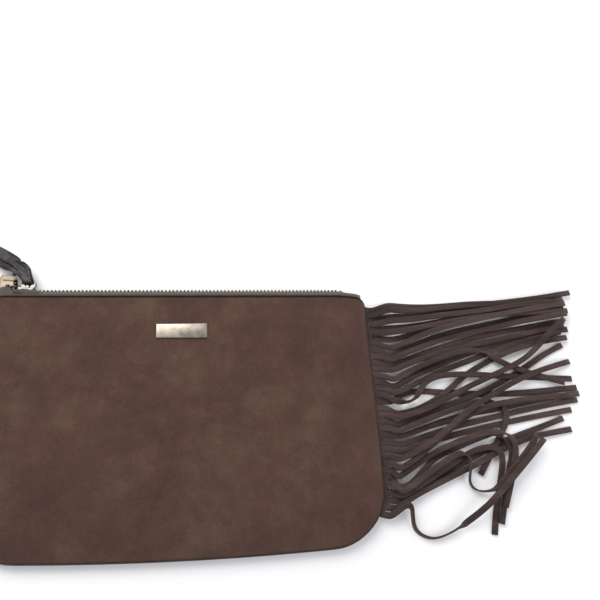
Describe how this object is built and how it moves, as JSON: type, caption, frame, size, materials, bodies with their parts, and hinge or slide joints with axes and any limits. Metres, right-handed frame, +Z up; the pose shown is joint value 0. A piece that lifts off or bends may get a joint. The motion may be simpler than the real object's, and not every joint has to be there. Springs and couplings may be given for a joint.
{
  "type": "fringed clutch bag",
  "caption": "Flat rounded suede clutch with a zip top, a wrist strap on the zip pull and a long cut fringe down one side.",
  "frame": {"origin": "middle of the flat back face the bag lies on", "axes": "+X along the zip towards the fringe, +Y towards the zip, +Z up out of the front panel"},
  "size_m": [0.5631, 0.2409, 0.0183],
  "materials": {
    "suede": "matt napped brown suede",
    "fringe_suede": "matt dark grey-brown suede",
    "satin_lining": "soft sheen",
    "zip_tape": "woven, matt",
    "zip_teeth": "dark nickel",
    "zip_stop": "satin",
    "bright_metal": "bright nickel",
    "smooth_leather": "smooth, slight sheen",
    "pale_metal": "satin, bare"
  },
  "bodies": {
    "bag": {"front_panel": "suede", "back_panel": "suede", "front_lining": "satin_lining", "back_lining": "satin_lining", "front_zip_tape": "zip_tape", "back_zip_tape": "zip_tape", "front_zip_teeth": "zip_teeth", "back_zip_teeth": "zip_teeth", "fringe": "fringe_suede", "name_plate": "pale_metal", "zip_end_stop": "zip_stop", "front_top_stop": "zip_stop", "back_top_stop": "zip_stop"},
    "slider": {"zip_slider": "bright_metal"},
    "ring": {"pull_ring": "bright_metal"},
    "strap": {"wrist_strap": "smooth_leather"}
  },
  "joints": [
    {"name": "zip_slide", "type": "slide", "parent": "bag", "child": "slider", "axis": [1, 0, 0], "range_m": [-0.0012, 0.224], "deforming": ["front_zip_tape", "back_zip_tape", "front_zip_teeth", "back_zip_teeth"]},
    {"name": "ring_swing", "type": "hinge", "parent": "slider", "child": "ring", "pos_m": [-0.11454, 0.09625, 0.0085], "axis": [1, 0, 0], "range_deg": [-20, 60]},
    {"name": "strap_swing", "type": "hinge", "parent": "ring", "child": "strap", "pos_m": [-0.11454, 0.10137, 0.0076], "axis": [1, 0, 0], "range_deg": [-5, 65]}
  ]
}
